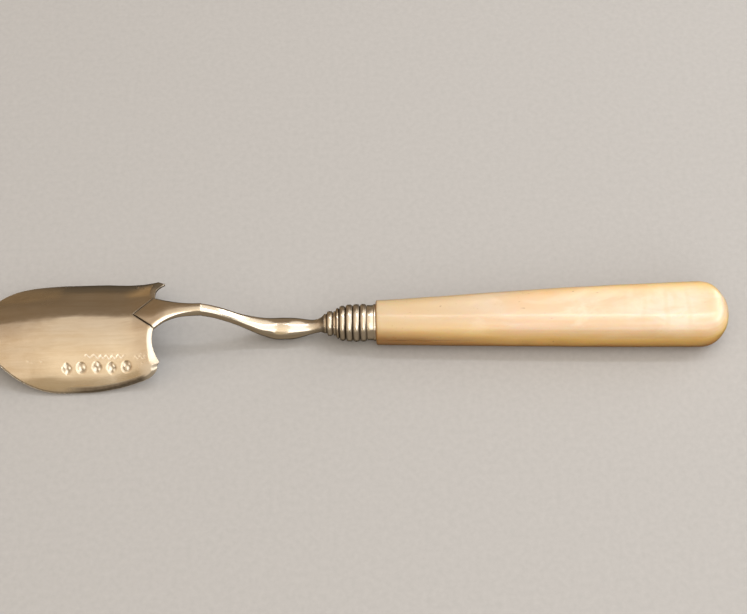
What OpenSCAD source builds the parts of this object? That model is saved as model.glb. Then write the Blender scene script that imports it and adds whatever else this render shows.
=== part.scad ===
// Small serving spoon lying face down: a silver shovel bowl with its hollow below, an arched
// silver stem, a ring-turned ferrule and a tapering handle of mother-of-pearl.
// Origin: middle of the footprint, on the surface. +X runs to the handle's butt, +Z is up.

/* [Overall] */
// Length from the lip of the bowl to the butt of the handle
total_len = 145.3; // [142:0.1:150]
// Length of the mother-of-pearl from its shoulder to the butt
handle_len = 68.6; // [65:0.1:72]
// Length of the ring-turned ferrule
ferrule_len = 8.3; // [8.2:0.1:9]
// Length of the small collar between stem and ferrule
collar_len = 1.8; // [1.5:0.1:2.2]

/* [Bowl] */
// Half the greatest width of the bowl
bowl_half_w = 12.8; // [12.4:0.05:13.2]
// Outside radius of the bowl's trough-shaped section over the middle and nose
trough_r_mid = 14.3; // [13.9:0.05:15.5]
// Outside radius of the same section at the heel
trough_r_heel = 13.4; // [13:0.05:13.8]
// How far the crest of the back rises towards the heel
heel_lift = 1.35; // [0.8:0.05:1.4]
// Length over which the crest curves up to the heel
heel_curve_len = 7.6; // [6:0.2:9]
// Thickness of the silver sheet
sheet_t = 1.1; // [0.8:0.05:1.4]
// Distance from the lip to the middle of the heel's hollows
bowl_len = 33.6; // [32:0.1:35]
// Length over which the rounded nose reaches full width
nose_len = 16.2; // [15:0.1:19]
// Fullness of the nose outline, 2 for an ellipse
nose_fullness = 2.1; // [2:0.05:2.6]
// How far the lip falls below the crest of the back
lip_drop = 2.1; // [1.5:0.1:3.5]
// Length over which the crest falls to the lip
lip_drop_len = 15.4; // [13:0.1:16]
// Share of the width lost towards the heel
heel_taper = 0.115; // [0.08:0.005:0.16]

/* [Heel] */
// Half width of the stem's pointed tongue where it enters the bowl
tongue_half_w = 3.6; // [3.4:0.05:4]
// Length of the pointed tongue
tongue_len = 4.3; // [3.8:0.1:5]
// Distance from the centre line to the deepest point of each hollow
hollow_y = 5.6; // [5.2:0.1:6]
// Distance from the centre line to the tip of each horn
horn_y = 9.8; // [9.4:0.1:10]
// How far each horn reaches past the hollow
horn_reach = 1.4; // [1.2:0.1:2]
// Depth of the small notch beside each horn
notch_depth = 0.55; // [0.3:0.05:0.7]

/* [Stem] */
// Height of the shank's centre at the top of its arch
arch_z = 9.8; // [9.6:0.05:10.2]
// Half width of the shank at its narrowest
shank_half_w = 1.05; // [0.9:0.05:1.2]
// Half height of the shank at its narrowest
shank_half_h = 1.15; // [0.9:0.05:1.2]
// Half width of the swelling that nearly touches the surface
swell_half_w = 2.2; // [2:0.05:2.4]
// Half height of the swelling
swell_half_h = 2.1; // [1.9:0.05:2.2]
// Height of the swelling's centre
swell_z = 2.55; // [2.45:0.05:2.8]
// Half width of the neck behind the swelling
neck_half_w = 1.36; // [1.2:0.02:1.5]
// Half width of the stem's end against the collar
stem_end_half_w = 1.9; // [1.7:0.05:2]

/* [Ferrule] */
// Height of the ferrule's axis
axis_z = 3.95; // [3.92:0.01:4]
// Outside diameter of the collar's bead
bead_d = 4.9; // [4.6:0.1:5.1]
// Diameter of the slim fillet in front of the rings
fillet_d = 6; // [5.6:0.1:6.4]
// Diameter of the first ring
ring_first_d = 6.9; // [6.6:0.05:7]
// Diameter of the last ring
ring_last_d = 7.4; // [7.3:0.05:7.6]
// Outside diameter of the plain band
band_d = 6.9; // [6.8:0.05:7.1]
// Depth of the grooves between the rings
groove_depth = 0.48; // [0.36:0.02:0.5]
// Diameter of the handle's spigot inside the ferrule
spigot_d = 5.9; // [5.6:0.05:6]
// Length of the handle's spigot
spigot_len = 3.1; // [2.8:0.1:3.2]

/* [Handle] */
// Width of the handle at the shoulder
handle_w_front = 8.3; // [8.2:0.1:9]
// Width of the handle at its widest, near the butt
handle_w_back = 12.9; // [12:0.1:14]
// Thickness of the handle at the shoulder
handle_t_front = 8; // [7.9:0.05:8.2]
// Thickness of the handle near the butt
handle_t_back = 8.9; // [8.6:0.1:9.2]
// Radius of the handle's long edges
edge_r = 3.4; // [3:0.1:3.8]
// How much is rubbed off the underside to make it flat
flat_cut = 0.15; // [0.1:0.05:0.3]
// Length of the rounded butt
butt_len = 6.2; // [5.5:0.1:7]

/* [Tang] */
// Diameter of the tang
tang_d = 2.4; // [2.2:0.1:2.5]
// Length of the tang from the stem's end
tang_len = 39.6; // [36:0.1:44]
// Diameter of the bore drilled in the handle
bore_d = 3.2; // [3:0.1:3.4]
// Depth of the bore from the spigot's face
bore_depth = 35; // [34:0.1:42]

/* [Hidden] */
$fn = 64;

tip_x = -total_len / 2;
butt_x = total_len / 2;
handle_x = butt_x - handle_len;
ferrule_x = handle_x - ferrule_len;
collar_x = ferrule_x - collar_len;
heel_x = tip_x + bowl_len;
// Where the bowl starts to narrow towards its heel
taper_x = heel_x - 13;
tongue_x = heel_x + 0.4 - tongue_len;

// Height of the crest over the middle: it puts the lowest point of the side rims on the surface
rim_angle = asin(bowl_half_w / trough_r_mid);
crest_z = trough_r_mid - (trough_r_mid - sheet_t) * cos(rim_angle);

// Rows along the bowl, and columns in each stretch of its heel edge
bowl_rows = 30;
tongue_steps = 5;
hollow_steps = 11;
notch_steps = 2;
lobe_steps = 5;
// Points over the top of one section of the stem, and sections in its shank
stem_pts = 12;
shank_rows = 46;

function smooth(a, b, x) =
    let (t = min(max((x - a) / (b - a), 0), 1))
    t * t * (3 - 2 * t);

function mix(a, b, t) = a + (b - a) * t;

// ---- Bowl ----

// Half width of the rim at x
function rim_half(x) =
    let (nose = max(1 - (x - tip_x) / nose_len, 0))
    bowl_half_w * sqrt(1 - pow(nose, nose_fullness))
    * (1 - heel_taper * smooth(taper_x, heel_x + 3, x));

// Outside radius of the trough at x
function trough_r(x) = mix(trough_r_mid, trough_r_heel, smooth(taper_x, heel_x, x));

// Height of the crest at x: it falls to the lip and curves up towards the heel
function heel_curve(x) = max((x - heel_x) / heel_curve_len + 1, 0);
function crest(x) =
    crest_z + heel_lift * pow(heel_curve(x), 2)
    - lip_drop * pow(max((tip_x + lip_drop_len - x) / lip_drop_len, 0), 1.5);

// Angle from the crest to the rim at x
function rim_phi(x) = asin(rim_half(x) / trough_r(x));

// Point on the trough at x, at an angle from the crest and a depth below the outer face
function trough_point(x, phi, depth) =
    let (r = trough_r(x) - depth)
    [x, r * sin(phi), crest(x) - trough_r(x) + r * cos(phi)];

// Distance across the heel as a share of the half section
rim_end_x = heel_x + 0.6;
heel_phi = rim_phi(rim_end_x);
heel_half = trough_r_heel * sin(heel_phi);
function share(y) = asin(y / trough_r_heel) / heel_phi;

// Heel edge: the tongue's seat, the hollow up to the horn, the notch, then the rounded lobe
notch_w = 0.45;
lobe_setback = 0.35;
lobe_len = 2.6;
// How quickly the notch eases out along the lobe
notch_ease = 8;
notch_y = horn_y + notch_w;
horn_x = heel_x + horn_reach;
lobe_x = horn_x - lobe_setback;
function hollow_edge(y) =
    heel_x + horn_reach * pow((y - hollow_y) / (horn_y - hollow_y), 2);
function lobe_edge(y) =
    let (t = min((y - notch_y) / (heel_half - notch_y), 1))
    lobe_x - lobe_len * (1 - sqrt(1 - t * t))
    - (notch_depth - lobe_setback) * pow(1 - t, notch_ease);
function edge_x(y) =
    y < tongue_half_w ? mix(tongue_x, hollow_edge(tongue_half_w), y / tongue_half_w) :
    y < horn_y ? hollow_edge(y) :
    y < notch_y ? mix(horn_x, horn_x - notch_depth, (y - horn_y) / (notch_y - horn_y)) :
    lobe_edge(y);

// Distances from the centre line to the columns of points on one side
function steps(a, b, n) = [for (i = [1:n]) mix(a, b, i / n)];
edge_ys = concat(
    steps(0, tongue_half_w, tongue_steps),
    steps(tongue_half_w, horn_y, hollow_steps),
    steps(horn_y, notch_y, notch_steps),
    [for (i = [1:lobe_steps]) notch_y + (heel_half - notch_y) * sin(90 * i / lobe_steps)]);
half_cols = len(edge_ys);
columns = concat(
    [for (i = [half_cols - 1:-1:0]) -edge_ys[i]],
    [0],
    edge_ys);

// Angle and x of the bowl's grid at column y and row share u
function grid_x(y, u) = mix(edge_x(abs(y)), tip_x, 1 - pow(1 - u, 2));
function grid_point(y, u, depth) =
    let (x = grid_x(y, u))
    trough_point(x, sign(y) * share(abs(y)) * rim_phi(x), depth);

// Closed skin over two matching grids of points, rows by cols, the first one above
module shell(top, bottom, rows, cols) {
    n = rows * cols;
    edge_loop = concat(
        [for (j = [0:cols - 1]) j],
        [for (i = [1:rows - 1]) i * cols + cols - 1],
        [for (j = [cols - 2:-1:0]) (rows - 1) * cols + j],
        [for (i = [rows - 2:-1:1]) i * cols]);
    m = len(edge_loop);
    faces = [
        for (i = [0:rows - 2])
            for (j = [0:cols - 2])
                let (a = i * cols + j, b = a + 1, c = a + cols, d = c + 1)
                each [[a, d, b], [a, c, d], [a + n, b + n, d + n], [a + n, d + n, c + n]],
        for (k = [0:m - 1])
            let (a = edge_loop[k], b = edge_loop[(k + 1) % m])
            each [[a, b + n, a + n], [a, b, b + n]]];
    polyhedron(points = concat(top, bottom), faces = faces, convexity = 4);
}

module bowl() {
    rows = [for (i = [0:bowl_rows]) i < bowl_rows ? i / bowl_rows : 1 - 0.45 / bowl_rows];
    top = [for (u = rows) for (y = columns) grid_point(y, u, 0)];
    under = [for (u = rows) for (y = columns) grid_point(y, u, sheet_t)];
    color("silver")
        shell(top, under, len(rows), len(columns));
}

// ---- Stem ----

shank_x = heel_x + 9.6;
swell_start_x = shank_x + 5.6;
swell_x = heel_x + 25.4;
neck_x = heel_x + 31.6;
arm_x = edge_x(tongue_half_w);

// The climb onto the arch leaves the heel with the slope of the crest and ends level
climb_len = shank_x - 1.5 - arm_x;
climb_slope = 2 * heel_lift * heel_curve(arm_x) / heel_curve_len;
function climb_z(x) =
    let (t = min((x - arm_x) / climb_len, 1))
    mix(crest(arm_x) - sheet_t / 2, arch_z, smooth(0, 1, t)) + climb_slope * climb_len * t * pow(1 - t, 2);

// Height of the shank's centre at x
function shank_z(x) =
    x < shank_x ? climb_z(x) :
    x < swell_x ? mix(arch_z, swell_z, smooth(shank_x - 1.4, swell_x - 1.2, x)) :
    mix(swell_z, axis_z, pow((x - swell_x) / (collar_x - swell_x), 3.6));

// Half size of the shank at x, from its narrowest through the swelling and neck to the collar
function shank_half(x, narrow, swell) =
    x < neck_x ? mix(narrow, swell, smooth(swell_start_x, swell_x, x))
        - (swell - neck_half_w) * smooth(swell_x + 0.5, neck_x, x) :
    mix(neck_half_w, stem_end_half_w, pow((x - neck_x) / (collar_x - neck_x), 3));
function shank_w(x) =
    shank_half(x, shank_half_w, swell_half_w)
    + (tongue_half_w - shank_half_w) * pow(max((shank_x - x) / (shank_x - arm_x), 0), 2.4);
function shank_h(x) =
    mix(sheet_t / 2, shank_half(x, shank_half_h, swell_half_h), smooth(arm_x, shank_x, x));

// Share of a square edge left in the section at x: a plate at the arms, a bar with soft arrises
// along the shank, nearly round from the swelling on
bar_squareness = 0.5;
end_squareness = 0.1;
function squareness(x) =
    1 - (1 - bar_squareness) * smooth(arm_x, shank_x - 2, x)
    - (bar_squareness - end_squareness) * smooth(swell_start_x, swell_x, x);
// Share of the trough's curve left in the section at x
function curve_left(x) = 1 - smooth(arm_x, shank_x - 1, x);

// Points of one section of the shank at x, over the top (side 1) or below it (side -1)
function shank_row(x, side) = [
    for (i = [0:stem_pts])
        let (a = 180 * i / stem_pts,
            y = shank_w(x) * cos(a),
            drop = trough_r(x) - sqrt(pow(trough_r(x), 2) - y * y))
        [x, y, shank_z(x) + side * shank_h(x) * mix(sin(a), 1, squareness(x)) - curve_left(x) * drop]];

// The tongue follows the trough and fills the seat in the bowl's heel
function tongue_row(y, depth) =
    let (x = edge_x(y), phi = share(y) * rim_phi(x))
    [for (i = [0:stem_pts]) trough_point(x, phi * cos(180 * i / stem_pts), depth)];

module stem() {
    tongue_ys = concat([0.12], steps(0, tongue_half_w - 0.001, tongue_steps));
    shank_xs = [for (i = [1:shank_rows]) mix(arm_x, collar_x, pow(i / shank_rows, 1.25))];
    top = concat(
        [for (y = tongue_ys) each tongue_row(y, 0)],
        [for (x = shank_xs) each shank_row(x, 1)]);
    under = concat(
        [for (y = tongue_ys) each tongue_row(y, sheet_t)],
        [for (x = shank_xs) each shank_row(x, -1)]);
    color("silver")
        shell(top, under, len(tongue_ys) + len(shank_xs), stem_pts + 1);
}

// ---- Collar and ferrule, turned about the handle's axis ----

// Turns a profile of [distance along X, radius] about the axis, starting at x
module turned(x, profile) {
    translate([x, 0, axis_z])
        rotate([0, 90, 0])
            rotate_extrude($fn = 96)
                polygon([for (p = profile) [p[1], p[0]]]);
}

// Half round of a ring from its foot at start to its foot at end
ring_fullness = 0.75;
ring_pts = 10;
function bulge(start, end, foot_r, crest_r) = [
    for (i = [0:ring_pts])
        let (a = 180 * i / ring_pts)
        [mix(start, end, (1 - cos(a)) / 2), mix(foot_r, crest_r, pow(sin(a), ring_fullness))]];

bead_r = bead_d / 2;
bead_start = 0.5;
bead_end = 1.7;
bead_foot_r = 1.9;

module collar() {
    bore_r = tang_d / 2;
    color("silver")
        turned(collar_x, concat(
            [[0, bore_r], [0, bead_foot_r]],
            bulge(bead_start, bead_end, bead_foot_r, bead_r),
            [[collar_len, bead_foot_r], [collar_len, bore_r]]));
}

first_r = ring_first_d / 2;
last_r = ring_last_d / 2;
band_r = band_d / 2;
front_wall = 1.6;
front_bore_r = 2.6;
lip_ring_len = 0.4;
lip_ring_r = band_r + 0.15;
lip_ease = 0.1;
spigot_x = handle_x - spigot_len;

// Start and end along the ferrule of the fillet and of each ring, and the radius of its crest
ring_starts = [0.5, 1.2, 2.45, 3.82, 5.2];
ring_ends = [1.15, 2.35, 3.75, 5.12, 6.5];
ring_crests = [fillet_d / 2, first_r, mix(first_r, last_r, 0.8), last_r, last_r];
front_r = 2.4;
front_len = 0.3;
band_start = 6.6;

module ferrule() {
    tang_r = tang_d / 2;
    rings = [
        for (i = [0:len(ring_starts) - 1])
            each bulge(ring_starts[i], ring_ends[i], ring_crests[i] - groove_depth, ring_crests[i])];
    color("silver")
        turned(ferrule_x, concat(
            [[0, tang_r], [0, front_r], [front_len, front_r]],
            rings,
            [[band_start, band_r], [ferrule_len - lip_ring_len - lip_ease, band_r],
             [ferrule_len - lip_ring_len, lip_ring_r], [ferrule_len - lip_ease, lip_ring_r],
             [ferrule_len, lip_ring_r - lip_ease], [ferrule_len, spigot_d / 2],
             [ferrule_len - spigot_len, spigot_d / 2], [ferrule_len - spigot_len, front_bore_r],
             [front_wall, front_bore_r], [front_wall, tang_r]]));
}

module ferrule_filling() {
    color("saddlebrown")
        turned(ferrule_x + front_wall, [
            [0, tang_d / 2], [0, front_bore_r],
            [ferrule_len - spigot_len - front_wall, front_bore_r],
            [ferrule_len - spigot_len - front_wall, tang_d / 2]]);
}

tang_point_len = 0.6;
tang_point_r = tang_d / 2 - 0.4;

module tang() {
    color("gainsboro")
        turned(collar_x, [
            [0, 0], [0, tang_d / 2], [tang_len - tang_point_len, tang_d / 2], [tang_len, tang_point_r],
            [tang_len, 0]]);
}

module handle_cement() {
    tang_end = collar_x + tang_len - spigot_x;
    color("peru")
        turned(spigot_x, [
            [0, tang_d / 2], [0, bore_d / 2], [bore_depth, bore_d / 2], [bore_depth, 0], [tang_end, 0],
            [tang_end, tang_point_r], [tang_end - tang_point_len, tang_d / 2]]);
}

// ---- Handle ----

corner_pts = 7;
handle_rows = 22;
butt_rows = 14;

// Corner of a rounded rectangle, its centre at [y, z], starting at angle a
function corner(y, z, r, a) = [
    for (i = [0:corner_pts - 1])
        let (b = a + 90 * i / (corner_pts - 1))
        [y + r * cos(b), z + r * sin(b)]];

// Section of the handle: width w, from z = low to z = high, edge radius r
function rounded_box(w, low, high, r) = concat(
    corner(w / 2 - r, high - r, r, 0),
    corner(-w / 2 + r, high - r, r, 90),
    corner(-w / 2 + r, low + r, r, 180),
    corner(w / 2 - r, low + r, r, 270));

function handle_w(t) = mix(handle_w_front, handle_w_back, 1 - pow(1 - t, 1.25));
function handle_t(t) = mix(handle_t_front, handle_t_back, smooth(0, 0.6, t));
// The butt's outline is a little fuller than an ellipse, and shorter seen from the side
butt_fullness = 2.2;
butt_rise_share = 0.75;
// Share of the full section left at a distance from the butt
function butt_share(d, len, power) = pow(1 - pow(1 - min(d / len, 1), power), 1 / power);

// The shoulder's edge is eased over a short length
shoulder_ease_len = 0.4;
shoulder_ease = 0.35;

// Distances from the shoulder to the sections, closer together over the rounded butt
handle_ds = concat(
    [0, 0.12, shoulder_ease_len],
    [for (i = [1:handle_rows]) mix(shoulder_ease_len, handle_len - butt_len, i / handle_rows)],
    [for (i = [1:butt_rows - 1]) handle_len - butt_len * (1 - sin(90 * i / butt_rows))],
    [handle_len - 0.02]);

function handle_section(d) =
    let (t = d / handle_len,
        eased = shoulder_ease * (1 - sqrt(1 - pow(max(1 - d / shoulder_ease_len, 0), 2))),
        side = butt_share(handle_len - d, butt_len, butt_fullness),
        rise = butt_share(handle_len - d, butt_len * butt_rise_share, butt_fullness),
        w = handle_w(t) * side - 2 * eased,
        full_h = handle_t(t) + flat_cut,
        h = full_h * rise - 2 * eased,
        mid = full_h / 2 - flat_cut)
    [for (p = rounded_box(w, mid - h / 2, mid + h / 2, min(edge_r, w / 2 - 0.01, h / 2 - 0.01)))
        [handle_x + d, p[0], p[1]]];

module handle_blank() {
    n = 4 * corner_pts;
    sections = [for (d = handle_ds) handle_section(d)];
    m = len(sections);
    faces = concat(
        [for (k = [0:m - 2]) for (i = [0:n - 1])
            let (a = k * n + i, b = k * n + (i + 1) % n)
            each [[a, a + n, b + n], [a, b + n, b]]],
        [[for (i = [0:n - 1]) i]],
        [[for (i = [n - 1:-1:0]) (m - 1) * n + i]]);
    polyhedron(points = [for (s = sections) each s], faces = faces, convexity = 4);
}

module handle() {
    color("moccasin")
        difference() {
            union() {
                handle_blank();
                turned(spigot_x, [
                    [0, 0], [0, spigot_d / 2], [spigot_len + 1, spigot_d / 2], [spigot_len + 1, 0]]);
            }
            turned(spigot_x, [[-0.1, 0], [-0.1, bore_d / 2], [bore_depth, bore_d / 2], [bore_depth, 0]]);
            translate([handle_x - 1, -handle_w_back, -2])
                cube([handle_len + 2, 2 * handle_w_back, 2]);
        }
}

bowl();
stem();
collar();
ferrule();
ferrule_filling();
tang();
handle_cement();
handle();
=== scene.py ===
from math import asin, cos, pi, radians, sin, sqrt

import bpy
import numpy as np
from mathutils import Matrix, Vector
from mathutils.kdtree import KDTree


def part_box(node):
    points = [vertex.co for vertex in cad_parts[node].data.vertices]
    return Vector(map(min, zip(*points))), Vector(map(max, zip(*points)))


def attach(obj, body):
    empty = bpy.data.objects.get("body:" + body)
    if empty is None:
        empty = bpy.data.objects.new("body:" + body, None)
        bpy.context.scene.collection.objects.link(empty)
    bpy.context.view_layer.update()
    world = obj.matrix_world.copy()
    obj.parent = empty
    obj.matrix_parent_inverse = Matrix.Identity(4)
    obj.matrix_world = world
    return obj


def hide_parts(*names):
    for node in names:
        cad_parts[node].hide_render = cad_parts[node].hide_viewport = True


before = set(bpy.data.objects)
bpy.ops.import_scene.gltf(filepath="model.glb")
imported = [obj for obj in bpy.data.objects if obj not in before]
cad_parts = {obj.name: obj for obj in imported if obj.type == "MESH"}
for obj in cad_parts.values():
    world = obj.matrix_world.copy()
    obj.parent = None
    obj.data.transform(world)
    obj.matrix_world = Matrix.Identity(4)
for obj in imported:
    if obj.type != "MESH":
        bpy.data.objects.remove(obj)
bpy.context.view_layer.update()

# The spoon lies face down along X: bowl at -X, handle at +X. Its shapes are worked out in
# millimetres, from the CAD's own boxes and sizes, and become metres when their mesh is made.
# Camera, lights and textures are in metres.
MM = 0.001


def node_box(name):
    """Lowest and highest corner of a CAD node, in millimetres."""
    lo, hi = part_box(name)
    return lo / MM, hi / MM


BOWL_LO, BOWL_HI = node_box("bowl")
STEM_LO, STEM_HI = node_box("stem")
COLLAR_LO, COLLAR_HI = node_box("collar")
FERRULE_LO, FERRULE_HI = node_box("ferrule")
HANDLE_HI = node_box("handle")[1]

# ---- helpers for shapes

RIPPLE_WAVES = 7
RIPPLE_GAIN = 1.6


def smooth(a, b, x):
    """0 at a and 1 at b, with a smooth start and end."""
    t = np.clip((x - a) / (b - a), 0, 1)
    return t * t * (3 - 2 * t)


def mix(a, b, t):
    return a + (b - a) * t


def join(*parts):
    return np.concatenate(parts)


def ripple(u, v, length, seed):
    """Gentle irregular waves, mostly between -1 and 1, about length long."""
    rng = np.random.default_rng(seed)
    total = np.zeros(np.broadcast(u, v).shape)
    for _ in range(RIPPLE_WAVES):
        turn, phase = rng.uniform(0, 2 * pi, 2)
        k = 2 * pi / (length * rng.uniform(0.75, 1.6))
        total += np.sin(k * (u * cos(turn) + v * sin(turn)) + phase)
    return total / RIPPLE_WAVES * RIPPLE_GAIN


def new_object(name, data):
    made = bpy.data.objects.new(name, data)
    bpy.context.scene.collection.objects.link(made)
    return made


def make_piece(name, points, faces, material, replaced, slot_name, **fields):
    """A smooth piece on the root body. Its fields are values per vertex, for the material."""
    mesh = bpy.data.meshes.new(name)
    mesh.from_pydata((np.asarray(points, float) * MM).tolist(), [], faces)
    mesh.polygons.foreach_set("use_smooth", [True] * len(mesh.polygons))
    for key, values in fields.items():
        attribute = mesh.attributes.new(key, "FLOAT", "POINT")
        attribute.data.foreach_set("value", np.asarray(values, np.float32).ravel())
    mesh.update()
    piece = new_object(name, mesh)
    mesh.materials.append(material)
    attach(piece, "root")
    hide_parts(replaced)


def tube_faces(rows, cols, bands):
    """Quads of the bands between closed rows of points. The first row follows the last."""
    faces = []
    for i in range(bands):
        here, there = i * cols, (i + 1) % rows * cols
        for j in range(cols):
            nj = (j + 1) % cols
            faces.append((here + j, here + nj, there + nj, there + j))
    return faces


def capped_tube_faces(rows, cols):
    """A tube closed by two fans. Their middle points come after the rows."""
    faces = tube_faces(rows, cols, rows - 1)
    last_row = (rows - 1) * cols
    first_end, last_end = rows * cols, rows * cols + 1
    for j in range(cols):
        nj = (j + 1) % cols
        faces.append((first_end, nj, j))
        faces.append((last_end, last_row + j, last_row + nj))
    return faces


def search_tree(points):
    """Search tree over points given as x and arc."""
    tree = KDTree(len(points))
    for i, (x, arc) in enumerate(points):
        tree.insert((x, arc, 0), i)
    tree.balance()
    return tree


def distance_to(tree, x, arc):
    flat = [tree.find((a, b, 0))[2] for a, b in zip(np.ravel(x), np.ravel(arc))]
    return np.array(flat).reshape(np.shape(x))


def outline_normals(outline, spread):
    """Inward normals of a closed outline, evened out over a length."""
    step = np.roll(outline, -1, 0) - np.roll(outline, 1, 0)
    step /= np.maximum(np.linalg.norm(step, axis=1, keepdims=True), 1e-9)
    raw = np.stack([-step[:, 1], step[:, 0]], -1)
    out = np.empty_like(raw)
    for k, p in enumerate(outline):
        near = np.exp(-((np.linalg.norm(outline - p, axis=1) / spread) ** 2))
        out[k] = near @ raw
    return out / np.maximum(np.linalg.norm(out, axis=1, keepdims=True), 1e-9)


# ---- shape of the bowl

# The trough: thickness of the sheet, lip, half width and outside radii
SHEET_T = 1.1
TIP_X = BOWL_LO.x
BOWL_HALF_W = BOWL_HI.y
TROUGH_R_MID = 14.3
TROUGH_R_HEEL = 13.4
# The crest climbs to the heel and falls to the lip
HEEL_LIFT = 1.35
HEEL_CURVE_LEN = 7.6
LIP_DROP = 2.1
LIP_DROP_LEN = 15.4
# The rim: length and fullness of the nose, and narrowing towards the heel
NOSE_LEN = 16.2
NOSE_FULLNESS = 2.1
HEEL_TAPER = 0.115
# The heel: hollow, horn, notch and lobe on each side, and the tongue's seat between them
HORN_REACH = 1.4
HORN_Y = 9.8
HOLLOW_Y = 5.6
NOTCH_DEPTH = 0.55
NOTCH_W = 0.45
NOTCH_EASE = 8
LOBE_LEN = 2.6
LOBE_SETBACK = 0.35
TONGUE_HALF_W = 3.6
# The stem's mesh starts this far behind the point of its seat
TONGUE_START = 0.14
HEEL_X = BOWL_HI.x - HORN_REACH
TONGUE_X = STEM_LO.x - TONGUE_START
TAPER_X = HEEL_X - 13
HORN_X = HEEL_X + HORN_REACH
LOBE_X = HORN_X - LOBE_SETBACK
NOTCH_Y = HORN_Y + NOTCH_W
CREST_Z = TROUGH_R_MID - (TROUGH_R_MID - SHEET_T) * cos(asin(BOWL_HALF_W / TROUGH_R_MID))
# Share of the way to the lip at which the grid and the bevel stop
LIP_SHARE = 0.985


def rim_half(x):
    nose = np.clip(1 - (x - TIP_X) / NOSE_LEN, 0, 1)
    return (
        BOWL_HALF_W
        * np.sqrt(1 - nose**NOSE_FULLNESS)
        * (1 - HEEL_TAPER * smooth(TAPER_X, HEEL_X + 3, x))
    )


def trough_r(x):
    return mix(TROUGH_R_MID, TROUGH_R_HEEL, smooth(TAPER_X, HEEL_X, x))


def crest(x):
    """Height of the crest of the back."""
    fall = np.clip((TIP_X + LIP_DROP_LEN - x) / LIP_DROP_LEN, 0, 1)
    climb = np.clip((x - HEEL_X) / HEEL_CURVE_LEN + 1, 0, None)
    return CREST_Z + HEEL_LIFT * climb**2 - LIP_DROP * fall**1.5


def rim_phi(x):
    """Angle from the crest to the rim."""
    return np.arcsin(np.clip(rim_half(x) / trough_r(x), 0, 1))


def trough_point(x, arc, depth):
    """Point of the trough, at an arc length from the crest and a depth below the back."""
    big = trough_r(x)
    phi = arc / big
    r = big - depth
    return np.stack([x, r * np.sin(phi), crest(x) - big + r * np.cos(phi)], -1)


def arc_of(x, y):
    """Arc length from the crest at a distance y from the centre."""
    big = trough_r(x)
    return big * np.arcsin(np.clip(y / big, -1, 1))


HEEL_PHI = float(rim_phi(HEEL_X + 0.6))
HEEL_HALF = TROUGH_R_HEEL * sin(HEEL_PHI)


def share(y):
    """Place across the heel, as a share of its half."""
    return np.arcsin(np.clip(y / TROUGH_R_HEEL, -1, 1)) / HEEL_PHI


def hollow_edge(y):
    return HEEL_X + HORN_REACH * ((y - HOLLOW_Y) / (HORN_Y - HOLLOW_Y)) ** 2


def edge_x(y):
    """X where the bowl ends: seat, hollow, horn, notch and lobe."""
    t = np.clip((y - NOTCH_Y) / (HEEL_HALF - NOTCH_Y), 0, 1)
    bite = (NOTCH_DEPTH - LOBE_SETBACK) * (1 - t) ** NOTCH_EASE
    lobe = LOBE_X - LOBE_LEN * (1 - np.sqrt(1 - t * t)) - bite
    notch = mix(HORN_X, HORN_X - NOTCH_DEPTH, (y - HORN_Y) / (NOTCH_Y - HORN_Y))
    seat = mix(TONGUE_X, hollow_edge(TONGUE_HALF_W), y / TONGUE_HALF_W)
    return np.select(
        [y < TONGUE_HALF_W, y < HORN_Y, y < NOTCH_Y], [seat, hollow_edge(y), notch], lobe
    )


# Where the hollow meets the stem on each side
ARM_X = float(edge_x(np.array(TONGUE_HALF_W)))

# ---- shape of the stem

# Places along the stem: top of the arch, start and middle of the swelling, neck, collar
SHANK_X = HEEL_X + 9.6
SWELL_START_X = SHANK_X + 5.6
SWELL_X = HEEL_X + 25.4
NECK_X = HEEL_X + 31.6
COLLAR_X = COLLAR_LO.x
# Half width and half height of its sections
SHANK_HALF_W, SHANK_HALF_H = 1.05, 1.15
SWELL_HALF_W, SWELL_HALF_H = 2.2, 2.1
NECK_HALF_W, STEM_END_HALF_W = 1.36, 1.9
# Heights of its middle
AXIS_Z = (COLLAR_LO.z + COLLAR_HI.z) / 2
SWELL_Z = 2.55
ARCH_Z = STEM_HI.z - SHANK_HALF_H
# The climb onto the arch leaves the heel with the slope of the crest
CLIMB_LEN = SHANK_X - 1.5 - ARM_X
CLIMB_SLOPE = 2 * HEEL_LIFT * ((ARM_X - HEEL_X) / HEEL_CURVE_LEN + 1) / HEEL_CURVE_LEN


def shank_z(x):
    """Height of the middle of the stem."""
    t = np.clip((x - ARM_X) / CLIMB_LEN, 0, 1)
    climb = mix(crest(ARM_X) - SHEET_T / 2, ARCH_Z, smooth(0, 1, t))
    climb = climb + CLIMB_SLOPE * CLIMB_LEN * t * (1 - t) ** 2
    fall = mix(ARCH_Z, SWELL_Z, smooth(SHANK_X - 1.4, SWELL_X - 1.2, x))
    rise = mix(SWELL_Z, AXIS_Z, np.clip((x - SWELL_X) / (COLLAR_X - SWELL_X), 0, 1) ** 3.6)
    tongue = crest(x) - SHEET_T / 2
    return np.select([x < ARM_X, x < SHANK_X, x < SWELL_X], [tongue, climb, fall], rise)


def shank_half(x, narrow, swell):
    """Half size through shank, swelling and neck to the collar."""
    body = mix(narrow, swell, smooth(SWELL_START_X, SWELL_X, x))
    body = body - (swell - NECK_HALF_W) * smooth(SWELL_X + 0.5, NECK_X, x)
    to_collar = np.clip((x - NECK_X) / (COLLAR_X - NECK_X), 0, 1)
    end = mix(NECK_HALF_W, STEM_END_HALF_W, to_collar**3)
    return np.where(x < NECK_X, body, end)


def stem_w(x):
    """Half width of the stem, with its tongue."""
    flare = np.clip((SHANK_X - x) / (SHANK_X - ARM_X), 0, 1) ** 2.4
    shank = shank_half(x, SHANK_HALF_W, SWELL_HALF_W) + (TONGUE_HALF_W - SHANK_HALF_W) * flare
    tongue = TONGUE_HALF_W * np.clip((x - TONGUE_X) / (ARM_X - TONGUE_X), 0, 1)
    return np.where(x < ARM_X, tongue, shank)


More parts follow.
